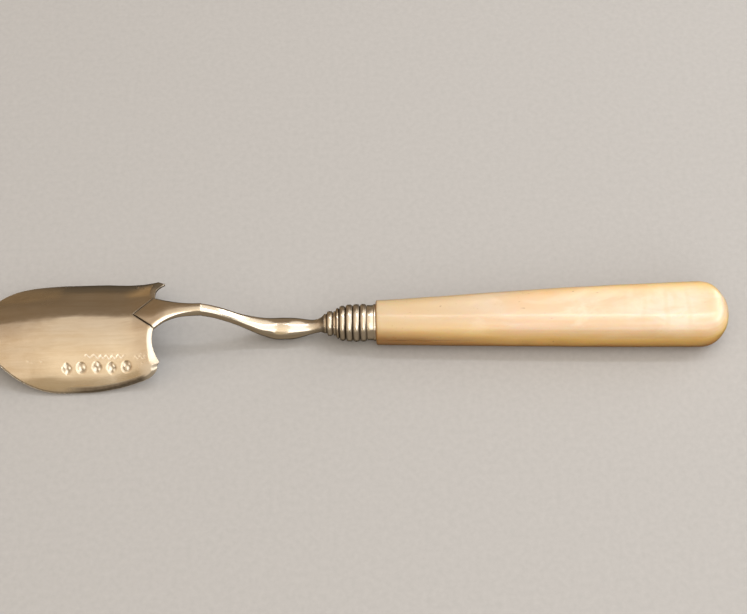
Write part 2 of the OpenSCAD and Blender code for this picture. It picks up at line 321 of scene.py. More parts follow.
def stem_h(x):
    """Half height: a sheet at the heel, a bar from the arch on."""
    return mix(SHEET_T / 2, shank_half(x, SHANK_HALF_H, SWELL_HALF_H), smooth(ARM_X, SHANK_X, x))


# ---- bevel and seam

# Width and depth of the bevel: on the flare, on the heel, and on the rim to where it has faded
FLARE_WIDTH, FLARE_DROP = (0.7, 0.45), (0.66, 0.42)
HEEL_WIDTH, HEEL_DROP = 1.0, 0.62
RIM_WIDTH, RIM_DROP = (1.1, 0.45), (0.5, 0.24)
RIM_FADE = 15
# What the horn adds to the heel's bevel, and how far that spreads
HORN_WIDTH, HORN_DROP, HORN_SPREAD = 0.5, 0.1, 1.6
# 1 gives a flat bevel, and more than 1 a hollow one
BEVEL_HOLLOW = 1.15
# Width of the dark seam, which is tarnish with painted shade in its gap, and how far the stem's tongue stays
# clear of its seat
SEAM_WIDTH = 0.2
SEAM_GAP = 0.07
# How far the finished back lies below the CAD's faces
SKIN = 0.03
# Radius of the rolled edges
EDGE_ROUND = 0.15


class Bevel:
    """Depth of the filed bevel. It is one strip from the flare of the stem to the rim of the
    bowl, so it runs across the seam."""

    def __init__(self):
        xs = np.linspace(SHANK_X - 0.5, ARM_X, 60)
        flare = np.stack([xs, arc_of(xs, stem_w(xs))], -1)
        ys = join(
            np.linspace(TONGUE_HALF_W, HORN_Y, 120),
            np.linspace(HORN_Y, NOTCH_Y, 8)[1:],
            NOTCH_Y + (HEEL_HALF - NOTCH_Y) * np.sin(np.linspace(0, pi / 2, 50))[1:],
        )
        ex = edge_x(ys)
        heel = np.stack([ex, share(ys) * rim_phi(ex) * trough_r(ex)], -1)
        u = np.linspace(0, LIP_SHARE, 400)[1:]
        rx = mix(ex[-1], TIP_X, 1 - (1 - u) ** 2)
        rim = np.stack([rx, rim_phi(rx) * trough_r(rx)], -1)
        points = join(flare, heel, rim)
        self.tree = search_tree(points)

        x, arc = points.T
        on_flare = np.arange(len(x)) < len(flare)
        on_rim = np.arange(len(x)) >= len(flare) + len(heel)
        horn = np.exp(-(((arc - HORN_Y) / HORN_SPREAD) ** 2)) * (x > HEEL_X - 1)
        near_shank = smooth(SHANK_X - 5, SHANK_X, x)
        faded = np.clip((ex[-1] - x) / RIM_FADE, 0, 1)
        self.width = np.where(on_flare, mix(*FLARE_WIDTH, near_shank), HEEL_WIDTH + HORN_WIDTH * horn)
        self.width = np.where(on_rim, mix(*RIM_WIDTH, faded), self.width)
        self.drop = np.where(on_flare, mix(*FLARE_DROP, near_shank), HEEL_DROP + HORN_DROP * horn)
        self.drop = np.where(on_rim, mix(*RIM_DROP, faded), self.drop)

    def __call__(self, x, arc):
        flat_x, flat_arc = np.ravel(x), np.abs(np.ravel(arc))
        out = np.zeros(len(flat_x))
        for k, (px, pa) in enumerate(zip(flat_x, flat_arc)):
            _, i, d = self.tree.find((px, pa, 0))
            if d < self.width[i]:
                out[k] = self.drop[i] * (1 - d / self.width[i]) ** BEVEL_HOLLOW
        return out.reshape(np.shape(x))


def seam_grime(x, arc):
    """Dark line of the V seam between seat and tongue: tarnish in the joint, and painted shade in its gap."""
    run = np.array([ARM_X - TONGUE_X, TONGUE_HALF_W])
    px, pa = x - TONGUE_X, np.abs(arc)
    t = np.clip((px * run[0] + pa * run[1]) / (run @ run), 0, 1)
    away = np.hypot(px - t * run[0], pa - t * run[1])
    return 0.95 * np.exp(-((away / SEAM_WIDTH) ** 2))


# ---- marks on the bowl

# Five plain punches: arc from the crest, distances from the lip, half sizes, depth, and outline,
# from a lozenge at 1 to an oval at 2
MARK_ARC = -10.5
MARK_FROM_TIP = (17.1, 19.9, 22.9, 25.7, 28.6)
MARK_SIZE = (1.08, 1.32)
MARK_DEPTH = 0.16
MARK_OUTLINE = (1.5, 2.0, 1.7, 1.5, 2.2)
# The row isn't quite straight
MARK_OFFSET = 0.09
# The pellets slope down toward the handle, to catch the lamp
PELLET_LEAN = 0.55
PELLET_HEIGHT = 0.7
# Pellets in each punch: place along and across it, and radius, as shares of its size
PELLETS = (
    ((-0.40, 0.30, 0.42), (0.45, 0.10, 0.34), (-0.20, -0.45, 0.44)),
    ((-0.38, -0.10, 0.56), (0.42, 0.14, 0.50)),
    ((-0.44, -0.30, 0.44), (0.36, -0.36, 0.34), (0.02, 0.40, 0.42)),
    ((0.38, 0.36, 0.38), (-0.34, -0.12, 0.54), (0.42, -0.42, 0.32)),
    ((-0.46, 0.20, 0.42), (0.06, -0.28, 0.50), (0.54, 0.30, 0.36)),
)
# Wavy scratches: distance from the lip, length, arc from the crest, and length of a wave
SCRATCHES = ((20.6, 3.4, -8.3, 1.5), (23.4, 5.0, -8.5, 1.15), (30.2, 2.4, -9.0, 0.95))
SCRATCH_DEPTH = 0.07
SCRATCH_WIDTH = 0.15
# Small dents: distance from the lip, arc from the crest, radius, and how much painted shade darkens them
DENTS = (
    (9.6, -8.7, 0.24, 0), (10.3, -9.1, 0.16, 0), (12.2, -9.0, 0.26, 0), (12.7, -8.6, 0.16, 0),
    (14.9, -9.6, 0.16, 0), (31.6, -8.4, 0.20, 0), (32.3, -9.3, 0.24, 0), (31.7, -10.2, 0.20, 0),
    (29.6, 8.85, 0.34, 0.9), (32.6, 8.4, 0.28, 0.6), (31.2, 7.9, 0.20, 0.3),
)
# Width of the band of painted shade along the near rim
RIM_SHADE_BAND = 1.7


def punched(x, arc):
    """Depth of the punches, each with two or three raised pellets, and where these are."""
    depth = np.zeros_like(x)
    raised = np.zeros_like(x)
    half_x, half_arc = MARK_SIZE
    for k, (from_tip, power, pellets) in enumerate(zip(MARK_FROM_TIP, MARK_OUTLINE, PELLETS)):
        p = (x - TIP_X - from_tip) / half_x
        q = (arc - MARK_ARC - MARK_OFFSET * (k % 3 - 1)) / half_arc
        r = (np.abs(p) ** power + np.abs(q) ** power) ** (1 / power)
        sunk = 1 - smooth(0.6, 1.0, r)
        dome = np.zeros_like(x)
        for a, b, size in pellets:
            hump = np.clip(1 - ((p - a) ** 2 + (q - b) ** 2) / size**2, 0, 1)
            dome = np.maximum(dome, hump * (1 - PELLET_LEAN * (p - a) / size))
        depth += MARK_DEPTH * sunk * (1 - PELLET_HEIGHT * dome)
        raised = np.maximum(raised, np.clip(dome * 3, 0, 1) * sunk)
    return depth, raised


def scratched(x, arc):
    """Depth of the scratches and the dents, and the painted shade that darkens the far-side dents."""
    depth = np.zeros_like(x)
    dent_shade = np.zeros_like(x)
    for start, length, level, wave in SCRATCHES:
        p = x - TIP_X - start
        inside = smooth(-0.2, 0.3, p) * (1 - smooth(length - 0.3, length + 0.2, p))
        swing = 0.26 * np.sin(2 * pi * p / wave)
        line = level + swing + 0.1 * np.sin(2 * pi * p / (wave * 2.7))
        depth += SCRATCH_DEPTH * inside * np.exp(-(((arc - line) / SCRATCH_WIDTH) ** 2))
    # The far-side dents are darkened as painted shade
    for from_tip, level, size, shade_level in DENTS:
        dent = np.exp(-(((x - TIP_X - from_tip) ** 2 + (arc - level) ** 2) / (size * 0.6) ** 2))
        depth += 0.3 * size * dent
        dent_shade = np.maximum(dent_shade, shade_level * dent)
    return depth, dent_shade


def darkened_rim_and_nose(x, arc, from_rim):
    """Painted shade on the rear half of the near rim, standing in for the dark reflection of the shaded table
    below it, and a darker patch on the far side of the nose.
    """
    near_side = smooth(-9.6, -10.4, arc)
    rear_half = smooth(TIP_X + 15.5, TIP_X + 21, x) * (1 - smooth(HEEL_X - 2.4, HEEL_X - 0.8, x))
    rim = 0.74 * (1 - smooth(0.7, 1.0, from_rim / RIM_SHADE_BAND)) * near_side * rear_half
    nose = 0.36 * smooth(1.5, 7.0, arc) * (1 - smooth(TIP_X + 11, TIP_X + 20, x))
    return np.maximum(rim, nose)


# ---- bowl piece


def side_columns(hollow_steps):
    """Distances from the centre to the columns of one side."""
    return join(
        np.linspace(0, TONGUE_HALF_W, 15)[1:],
        np.linspace(TONGUE_HALF_W, HORN_Y, hollow_steps)[1:],
        np.linspace(HORN_Y, NOTCH_Y, 6)[1:],
        NOTCH_Y + (HEEL_HALF - NOTCH_Y) * np.sin(np.linspace(0, pi / 2, 22))[1:],
    )


def bowl_rows():
    """Rows from the heel to the lip, closest over the punches."""
    length = HEEL_X - TIP_X
    marks_from, marks_to, nose_from = 2.0, 18.5, 26
    run = join(
        np.linspace(0, marks_from, 16)[:-1],
        np.linspace(marks_from, marks_to, 128)[:-1],
        np.linspace(marks_to, nose_from, 30)[:-1],
    )
    nose = np.linspace(1 - sqrt(1 - nose_from / length), LIP_SHARE, 42)
    return join(1 - np.sqrt(1 - run / length), nose)


def walk_round(n_rows, n_cols):
    """Rows and columns of the points on the edge of a grid, once round."""
    loop = (
        [(0, j) for j in range(n_cols)]
        + [(i, n_cols - 1) for i in range(1, n_rows)]
        + [(n_rows - 1, j) for j in range(n_cols - 2, -1, -1)]
        + [(i, 0) for i in range(n_rows - 2, 0, -1)]
    )
    return np.array([i for i, _ in loop]), np.array([j for _, j in loop])


def pull_in(x, arc, tree, inward):
    """Moves the grid in, to leave room for the rolled edge."""
    reach = 1.2
    for i, j in np.ndindex(x.shape):
        _, k, d = tree.find((x[i, j], arc[i, j], 0))
        if d < reach:
            push = EDGE_ROUND * (1 - d / reach) ** 2
            x[i, j] += inward[k, 0] * push
            arc[i, j] += inward[k, 1] * push


def bowl_back(bevel, x, arc, from_rim):
    """Depth of the back below the CAD's faces, and its grime with painted shade, its wear with painted
    highlights, and its frost.
    """
    bevel_depth = bevel(x, arc)
    wobble = 0.022 * ripple(x, arc, 9.0, 3) + 0.007 * ripple(x, arc, 3.1, 5)
    wobble = wobble + 0.0035 * ripple(x * 0.2, arc, 1.2, 8)
    punches, pellets = punched(x, arc)
    scratches, dent_shade = scratched(x, arc)
    marks = punches + scratches
    depth = bevel_depth + marks + wobble * smooth(0.0, 3.0, from_rim) + SKIN

    in_punches = np.clip(punches / MARK_DEPTH, 0, 1) ** 2 * 0.5
    # Painted shade along the near rim, and a darker far side of the nose
    tarnish_and_shade = darkened_rim_and_nose(x, arc, from_rim)
    grime = np.maximum.reduce([in_punches, seam_grime(x, arc), dent_shade, tarnish_and_shade])
    on_lobe = smooth(HEEL_X - 3.4, HEEL_X - 0.4, x) * smooth(-HORN_Y + 0.4, -HORN_Y - 1.4, arc)
    on_bevel = np.clip(bevel_depth / 0.3, 0, 1)
    in_scratches = scratches / SCRATCH_DEPTH
    # The pellets are painted bright as a highlight
    wear = np.maximum.reduce([on_bevel, pellets, in_scratches, 0.8 * on_lobe])
    frost = np.maximum(0.8 * on_lobe, 0.6 * in_scratches)
    return depth, grime, wear, frost


def rolled_edge(outline, inward, edge_depth):
    """Rings round the edge of the sheet, from its back to its underside."""
    rings = []
    for upper, turns in ((True, (30, 60, 90)), (False, (90, 60, 30))):
        for a in map(radians, turns):
            inset = EDGE_ROUND * (1 - sin(a))
            sunk = EDGE_ROUND * (1 - cos(a))
            depth = edge_depth + sunk if upper else np.full(len(outline), SHEET_T) - sunk
            at = outline + inward * inset
            rings.append(trough_point(at[:, 0], at[:, 1], depth))
    return rings


def bowl_faces(n_rows, n_cols, li, lj, n_rings):
    """The back, the underside and the bands of the rolled edge."""
    faces = []
    n, m = n_rows * n_cols, len(li)
    under = n + m * n_rings
    for i in range(n_rows - 1):
        for j in range(n_cols - 1):
            a = i * n_cols + j
            faces.append((a, a + 1, a + n_cols + 1, a + n_cols))
            b = under + a
            faces.append((b, b + n_cols, b + n_cols + 1, b + 1))
    top_ring = [int(v) for v in li * n_cols + lj]
    rings = [list(range(n + k * m, n + (k + 1) * m)) for k in range(n_rings)]
    bands = [top_ring] + rings + [[under + v for v in top_ring]]
    for upper, lower in zip(bands[:-1], bands[1:]):
        for k in range(m):
            nk = (k + 1) % m
            faces.append((upper[k], lower[k], lower[nk], upper[nk]))
    return faces


def bowl_piece(bevel, material):
    # The near side, with the punches, has the finer columns
    columns = join(-side_columns(58)[::-1], [0.0], side_columns(34))
    rows = bowl_rows()
    start = edge_x(np.abs(columns))
    x = mix(start[None, :], TIP_X, (1 - (1 - rows) ** 2)[:, None])
    arc = (np.sign(columns) * share(np.abs(columns)))[None, :] * rim_phi(x) * trough_r(x)
    li, lj = walk_round(*x.shape)
    outline = np.stack([x[li, lj], arc[li, lj]], -1)
    inward = outline_normals(outline, 0.25)
    tree = search_tree(outline)
    pull_in(x, arc, tree, inward)

    depth, grime, wear, frost = bowl_back(bevel, x, arc, distance_to(tree, x, arc))
    top = trough_point(x, arc, depth)
    under = trough_point(x, arc, np.full_like(x, SHEET_T))
    rings = rolled_edge(outline, inward, depth[li, lj])

    # The rolled edge is worn, but painted dark where it faces the stem's tongue: painted shade in the seam's
    # gap
    in_seat = (li == 0) & (np.abs(columns[lj]) < TONGUE_HALF_W - 0.2)
    worn = [0.7 * (1 - (k + 1) / len(rings)) for k in range(len(rings))]
    clean = np.zeros(x.size)
    edge_grime = [np.where(in_seat, 0.9, 0.0) for _ in rings]
    edge_wear = [np.full(len(li), w) for w in worn]
    edge_frost = [np.where(in_seat, 0.0, w) for w in worn]
    make_piece(
        "bowl_shell",
        join(top.reshape(-1, 3), *rings, under.reshape(-1, 3)),
        bowl_faces(*x.shape, li, lj, len(rings)),
        material, "bowl", "silver",
        grime=join(grime.ravel(), *edge_grime, clean),
        wear=join(wear.ravel(), *edge_wear, clean),
        frost=join(frost.ravel(), *edge_frost, clean),
    )


# ---- stem piece

# Points of one section: over the top, on each side and below
STEM_TOPS, STEM_SIDES, STEM_BOTTOMS = 44, 6, 26
# Degrees from the level to where the top and the underside begin
SIDE_ANGLE = 9.0


def between(start, end, count):
    """Evenly spaced values between start and end, without either."""
    return np.linspace(start, end, count + 2)[1:-1]


def bar_angles():
    """Angles round one section of the bar, from +Y over the top."""
    lean = SIDE_ANGLE
    return np.radians(join(
        np.linspace(lean, 180 - lean, STEM_TOPS),
        between(180 - lean, 180 + lean, STEM_SIDES),
        np.linspace(180 + lean, 360 - lean, STEM_BOTTOMS),
        between(360 - lean, 360 + lean, STEM_SIDES),
    ))


def plate_section(x, w, h, bevel):
    """Y, Z and bevel depth of a flat plate with a bevelled top edge."""
    corner = min(EDGE_ROUND, w * 0.5)
    rounding = corner * (1 - np.sin(between(0, pi, STEM_SIDES)))
    y = join(
        (w - corner) * np.cos(np.linspace(0, pi, STEM_TOPS)),
        -w + rounding,
        -(w - corner) * np.cos(np.linspace(0, pi, STEM_BOTTOMS)),
        w - rounding,
    )
    top_x = np.full(STEM_TOPS, x)
    bevelled = x > ARM_X - 1.2
    sunk = bevel(top_x, arc_of(top_x, y[:STEM_TOPS])) if bevelled else np.zeros(STEM_TOPS)
    side_top = h - sunk[-1] - corner * 0.6
    side_foot = -h + corner * 0.6
    fall = between(0, 1, STEM_SIDES)
    z = join(
        h - sunk, mix(side_top, side_foot, fall), np.full(STEM_BOTTOMS, -h), mix(side_foot, side_top, fall),
    )
    return y, z, sunk


def bar_section(x, w, h, c, s):
    """Y and Z of a rounded bar: squarer along the shank, nearly an ellipse at the swelling."""
    power = 2 / mix(3.1, 2.1, smooth(SWELL_START_X, SWELL_X, x))
    return w * np.sign(c) * np.abs(c) ** power, h * np.sign(s) * np.abs(s) ** power


def stem_section(x, bevel, angle):
    """Points, grime with painted shade, and wear with a painted highlight, of one section of the stem."""
    w, h, z = float(stem_w(x)), float(stem_h(x)), float(shank_z(x))
    w = max(w - SEAM_GAP * (1 - smooth(ARM_X - 0.3, ARM_X + 0.3, x)), 0.04)
    c, s = np.cos(angle), np.sin(angle)
    plate_y, plate_z, sunk = plate_section(x, w, h, bevel)
    bar_y, bar_z = bar_section(x, w, h, c, s)
    flat = 1 - smooth(ARM_X, SHANK_X - 1.5, x)
    y, dz = mix(bar_y, plate_y, flat), mix(bar_z, plate_z, flat)

    # Filed by hand: uneven, most of all at the swelling
    filed = smooth(SHANK_X - 4, SHANK_X + 2, x) * (1 - smooth(COLLAR_X - 3, COLLAR_X, x))
    swell = smooth(SWELL_X - 6, SWELL_X - 3, x)
    lumps = ripple(np.full_like(angle, x), angle * w, 3.4, 12) - 0.7
    push = (0.022 + 0.045 * swell) * filed * lumps
    y = y + push * c
    dz = dz + push * s
    # The heel end follows the trough
    trough = 1 - smooth(ARM_X, SHANK_X - 1, x)
    drop = trough_r(x) - np.sqrt(np.maximum(trough_r(x) ** 2 - y * y, 0))
    xs = np.full_like(y, x)
    points = np.stack([xs, y, z + dz - trough * drop - SKIN * flat], -1)

    seam = seam_grime(xs, arc_of(xs, y)) * (dz > -h * 0.5)
    neck = 0.3 * smooth(NECK_X - 2.5, NECK_X, x)
    neck = neck + 0.25 * smooth(COLLAR_X - 1.6, COLLAR_X - 0.1, x)
    # Tarnish and painted shade in the seam, darker toward the neck and the collar, and painted shade on the
    # underside of the bar
    grime = seam + neck + 0.25 * (s < -0.2)
    on_bevel = np.zeros(len(angle))
    on_bevel[:STEM_TOPS] = np.clip(sunk / 0.3, 0, 1)
    # The top of the bar is painted lighter from the arch on: wear and a painted highlight
    on_top = (s > 0.3) * smooth(SHANK_X - 4, SHANK_X, x) * 0.8
    return points, grime, np.maximum(on_bevel, on_top)


def stem_piece(bevel, material):
    xs = join(
        np.linspace(TONGUE_X + TONGUE_START, ARM_X, 34)[:-1],
        np.linspace(ARM_X, SHANK_X, 70)[:-1],
        np.linspace(SHANK_X, COLLAR_X, 190),
    )
    angle = bar_angles()
    rows, grime, wear = zip(*(stem_section(x, bevel, angle) for x in xs))
    ends = [rows[0].mean(0)[None], rows[-1].mean(0)[None]]
    # The tongue's tip is painted dark as shade in the seam; the end inside the collar is dark too
    tip_grime, collar_grime = 0.9, 0.5
    make_piece(
        "stem_forging", join(*rows, *ends), capped_tube_faces(len(xs), len(angle)),
        material, "stem", "silver",
        grime=np.clip(join(*grime, [tip_grime, collar_grime]), 0, 1),
        wear=join(*wear, [0.0, 0.0]),
    )


# ---- turned pieces

# Radius of the tang's bore, length of the spigot and radius of its socket
TANG_R = 1.2
SPIGOT_LEN = 3.1
SOCKET_R = 2.95
GROOVE_DEPTH = 0.48
LATHE_STEPS = 144


def bulge(start, end, foot_r, crest_r, count):
    """Profile of one turned ring, with dirt in its feet."""
    profile = []
    for t in np.linspace(0, pi, count):
        rise = max(sin(t), 0)
        profile.append((
            mix(start, end, (1 - cos(t)) / 2),
            mix(foot_r, crest_r, rise**0.75),
            min(1.15 * (1 - rise) ** 0.8, 1),
        ))
    return profile


def lathe_piece(name, x0, profile, foot_r, material, replaced, uneven):
    """Turns a closed profile about the handle's axis, slightly out of true. Its points are
    (distance, radius) or (distance, radius, dirt). The crests are worn."""
    profile = np.array([(*p, 0.0)[:3] for p in profile])
    turn = np.linspace(0, 2 * pi, LATHE_STEPS, endpoint=False)
    dist, rad = profile[:, 0][:, None], profile[:, 1][:, None]
    outer = smooth(TANG_R + 0.5, TANG_R + 0.9, rad)
    r = rad + uneven * outer * (ripple(dist * 3, turn[None, :] * 2.2, 2.4, 17) - 1.0)
    slip = 0.02 * outer * ripple(dist * 0.4, turn[None, :] * 3, 3.0, 23)
    points = np.stack([
        x0 + dist + slip + np.zeros_like(r),
        r * np.sin(turn)[None, :],
        AXIS_Z + r * np.cos(turn)[None, :],
    ], -1)
    grime = profile[:, 2][:, None] + np.zeros_like(r)
    wear = np.clip((r - foot_r - 0.15) / (rad.max() - foot_r), 0, 1)
    make_piece(
        name, points.reshape(-1, 3), tube_faces(*r.shape, len(r)), material, replaced, "silver",
        grime=grime.ravel(), wear=wear.ravel(),
    )


def collar_piece(material):
    bead_r = (COLLAR_HI.z - COLLAR_LO.z) / 2
    foot_r = 1.9
    length = COLLAR_HI.x - COLLAR_LO.x
    profile = (
        [(0, TANG_R), (0, foot_r - 0.05), (0.15, foot_r)]
        + bulge(0.5, 1.7, foot_r, bead_r, 26)
        + [(length - 0.05, foot_r), (length, foot_r), (length, TANG_R)]
    )
    lathe_piece("collar_bead", COLLAR_LO.x, profile, foot_r, material, "collar", 0.015)


def ferrule_piece(material):
    length = FERRULE_HI.x - FERRULE_LO.x
    last_r = (FERRULE_HI.z - FERRULE_LO.z) / 2
    first_r = last_r - 0.25
    band_r = last_r - 0.25
    front_r = 2.4
    # A slim fillet and four rings: start, end and radius of the crest
    rings = (
        (0.5, 1.15, 3.0),
        (1.2, 2.35, first_r),
        (2.45, 3.75, mix(first_r, last_r, 0.8)),
        (3.82, 5.12, last_r),
        (5.2, 6.5, last_r),
    )
    profile = [(0, TANG_R), (0, front_r - 0.1), (0.05, front_r), (0.3, front_r)]
    for start, end, crest_r in rings:
        profile += bulge(start, end, crest_r - GROOVE_DEPTH, crest_r, 22)
    lip = length - 0.4
    socket = length - SPIGOT_LEN
    filling_start, filling_r = 1.6, 2.6
    profile += [
        (6.6, band_r - 0.02), (6.7, band_r), (lip - 0.16, band_r), (lip - 0.1, band_r - 0.02),
        (lip - 0.05, band_r + 0.08), (lip, band_r + 0.14), (lip + 0.1, band_r + 0.15),
        (length - 0.12, band_r + 0.15), (length - 0.04, band_r + 0.12), (length, band_r + 0.05),
        (length, SOCKET_R), (socket, SOCKET_R), (socket, filling_r), (filling_start, filling_r),
        (filling_start, TANG_R),
    ]
    groove_r = first_r - GROOVE_DEPTH
    lathe_piece("ferrule_rings", FERRULE_LO.x, profile, groove_r, material, "ferrule", 0.02)


# ---- handle piece

SHOULDER_X = FERRULE_HI.x
HANDLE_LEN = HANDLE_HI.x - SHOULDER_X
# Width and thickness at the shoulder and near the butt
NARROW, WIDE = 8.3, 12.9
THICK_FRONT, THICK_BACK = 8.0, HANDLE_HI.z
EDGE_R = 3.4
BUTT_LEN = 6.2
# Fullness of the butt's outline, 2 for an ellipse
BUTT_FULLNESS = 2.2
# What is rubbed off the underside, and how far the top is crowned
FLAT_CUT = 0.15
CROWN = 0.16
# Length and depth of the softened edge at the shoulder
SHOULDER_LEN, SHOULDER_DEPTH = 0.4, 0.35
# Spigot and bore inside the ferrule, and a ring on the shoulder's face
SPIGOT_R = 2.9
SHOULDER_R = 3.3
BORE_R = 1.6
BORE_LEN = 35


def handle_w(t):
    return mix(NARROW, WIDE, 1 - (1 - t) ** 1.25)


def handle_t(t):
    return mix(THICK_FRONT, THICK_BACK, smooth(0, 0.6, t))


def butt_share(d, length):
    """Share of the full size, at d from the end of the butt."""
    fall = (1 - np.clip(d / length, 0, 1)) ** BUTT_FULLNESS
    return (1 - fall) ** (1 / BUTT_FULLNESS)


def rounded_box(w, low, high, r, per_corner=18, per_side=10):
    """Loop of a rounded rectangle in Y and Z, from +Y over the top."""
    r = min(r, w / 2 - 0.001, (high - low) / 2 - 0.001)
    right, top, foot = w / 2 - r, high - r, low + r
    centres = ((right, top), (-right, top), (-right, foot), (right, foot))
    points = []
    for k, (cy, cz) in enumerate(centres):
        for a in np.radians(np.linspace(90 * k, 90 * k + 90, per_corner)):
            points.append((cy + r * cos(a), cz + r * sin(a)))
        ny, nz = centres[(k + 1) % 4]
        a = radians(90 * k + 90)
        p = np.array(points[-1])
        q = np.array((ny + r * cos(a), nz + r * sin(a)))
        points += [mix(p, q, t) for t in between(0, 1, per_side)]
    return np.array(points)


def handle_loop(d):
    """Points round the handle, at d from the shoulder."""
    t = d / HANDLE_LEN
    to_shoulder = max(1 - d / SHOULDER_LEN, 0)
    eased = SHOULDER_DEPTH * (1 - sqrt(1 - to_shoulder**2))
    side = float(butt_share(HANDLE_LEN - d, BUTT_LEN))
    rise = float(butt_share(HANDLE_LEN - d, BUTT_LEN * 0.75))
    w = float(handle_w(t)) * side - 2 * eased
    full = float(handle_t(t)) + FLAT_CUT
    h = full * rise - 2 * eased
    mid = full / 2 - FLAT_CUT
    loop = rounded_box(w, mid - h / 2, mid + h / 2, EDGE_R)
    crown = CROWN * (1 - (loop[:, 0] / max(w / 2, 0.01)) ** 2)
    loop[:, 1] += np.where(loop[:, 1] > mid, (crown - CROWN) * rise, 0)
    # Ground by hand, so its faces aren't quite flat
    rough = 0.02 * (ripple(np.full(len(loop), d), loop[:, 0] + loop[:, 1], 7.5, 31) - 1)
    out = loop - np.array([0, mid])
    out /= np.maximum(np.linalg.norm(out, axis=1, keepdims=True), 1e-6)
    loop = loop + out * rough[:, None] * smooth(0, 1.5, d) * rise
    loop[:, 1] = np.maximum(loop[:, 1], 0)
    return np.column_stack([np.full(len(loop), SHOULDER_X + d), loop])


def spigot_loops(first):
    """Circles from the end of the bore to the shoulder, in line with the first loop."""
    angle = np.arctan2(first[:, 1], first[:, 2] - AXIS_Z)
    spigot_x = SHOULDER_X - SPIGOT_LEN
    circles = (
        (spigot_x + BORE_LEN, BORE_R), (spigot_x, BORE_R), (spigot_x, SPIGOT_R),
        (SHOULDER_X, SPIGOT_R), (SHOULDER_X, SHOULDER_R),
    )
    return [
        np.column_stack([np.full(len(angle), x), r * np.sin(angle), AXIS_Z + r * np.cos(angle)])
        for x, r in circles
    ]


def handle_piece(material):
    butt_start = HANDLE_LEN - BUTT_LEN
    places = join(
        SHOULDER_LEN * (1 - np.cos(np.linspace(0, pi / 2, 6))),
        np.linspace(SHOULDER_LEN, butt_start, 90)[1:],
        HANDLE_LEN - BUTT_LEN * (1 - np.sin(np.linspace(0, pi / 2, 34)))[1:-1],
        [HANDLE_LEN - 0.004],
    )
    body = [handle_loop(d) for d in places]
    loops = spigot_loops(body[0]) + body
    points = join(*loops, loops[0].mean(0)[None], loops[-1].mean(0)[None])
    at_shoulder = np.clip(1 - np.abs(points[:, 0] - SHOULDER_X) / 0.35, 0, 1)
    make_piece(
        "handle_nacre", points, capped_tube_faces(len(loops), len(body[0])),
        material, "handle", "mother_of_pearl", grime=at_shoulder,
    )


# ---- helpers for materials


def new_material(name):
    material = bpy.data.materials.new(name)
    material.use_nodes = True
    tree = material.node_tree
    return material, tree, tree.nodes["Principled BSDF"]


# Most helpers find the node tree from a socket, as its id_data


def add(tree, kind, inputs=None, **settings):
    """A new node. Its inputs are sockets to link, or plain values."""
    made = tree.nodes.new("ShaderNode" + kind)
    for key, value in settings.items():
        setattr(made, key, value)
    for key, value in (inputs or {}).items():
        if isinstance(value, bpy.types.NodeSocket):
            tree.links.new(value, made.inputs[key])
        else:
            made.inputs[key].default_value = value
    return made


def coords(tree, scale=(1, 1, 1), turn=(0, 0, 0)):
    """Object coordinates in metres, scaled and turned."""
    place = add(tree, "TexCoord").outputs["Object"]
    return add(tree, "Mapping", {"Vector": place, "Scale": scale, "Rotation": turn}).outputs[0]


def noise(vector, scale, detail, rough, distortion=0.0):
    return add(vector.id_data, "TexNoise", {
        "Vector": vector, "Scale": scale, "Detail": detail, "Roughness": rough, "Distortion": distortion,
    }).outputs["Fac"]


def waves(vector, distortion, detail_scale, **settings):
    return add(vector.id_data, "TexWave", {
        "Vector": vector, "Scale": 1.0, "Distortion": distortion, "Detail": 3.0, "Detail Scale": detail_scale,
    }, **settings)


def ramp(value, low, high, out_low=0.0, out_high=1.0):
    """value from low..high mapped to out_low..out_high, clamped."""
    return add(value.id_data, "MapRange", {
        "Value": value, "From Min": low, "From Max": high, "To Min": out_low, "To Max": out_high,
    }).outputs["Result"]


def plus(a, b):
    return add(a.id_data, "Math", {0: a, 1: b}, operation="ADD").outputs[0]


def times(first, *others):
    for other in others:
        first = add(first.id_data, "Math", {0: first, 1: other}, operation="MULTIPLY").outputs[0]
    return first


def blend(how_much, a, b):
    """Colour a where how_much is 0, and colour b where it is 1."""
    return add(how_much.id_data, "Mix", {0: how_much, 6: a, 7: b}, data_type="RGBA").outputs[2]


def bump(height, strength, distance, normal=None):
    inputs = {"Height": height, "Strength": strength, "Distance": distance}
    if normal is not None:
        inputs["Normal"] = normal
    return add(height.id_data, "Bump", inputs).outputs["Normal"]


def field(tree, name):
    """Values per vertex that make_piece stored."""
    return add(tree, "Attribute", attribute_name=name).outputs["Fac"]


def connect(shader, colour, roughness, normal):
    for key, socket in (("Base Color", colour), ("Roughness", roughness), ("Normal", normal)):
        shader.id_data.links.new(socket, shader.inputs[key])


def rgb(r, g, b):
    return (r, g, b, 1.0)


# ---- materials

SILVER = rgb(0.80, 0.725, 0.62)
SILVER_WORN_AND_HIGHLIGHT = rgb(0.93, 0.875, 0.79)
SILVER_TARNISH = rgb(0.60, 0.47, 0.31)
SILVER_GRIME_AND_SHADE = rgb(0.055, 0.034, 0.018)


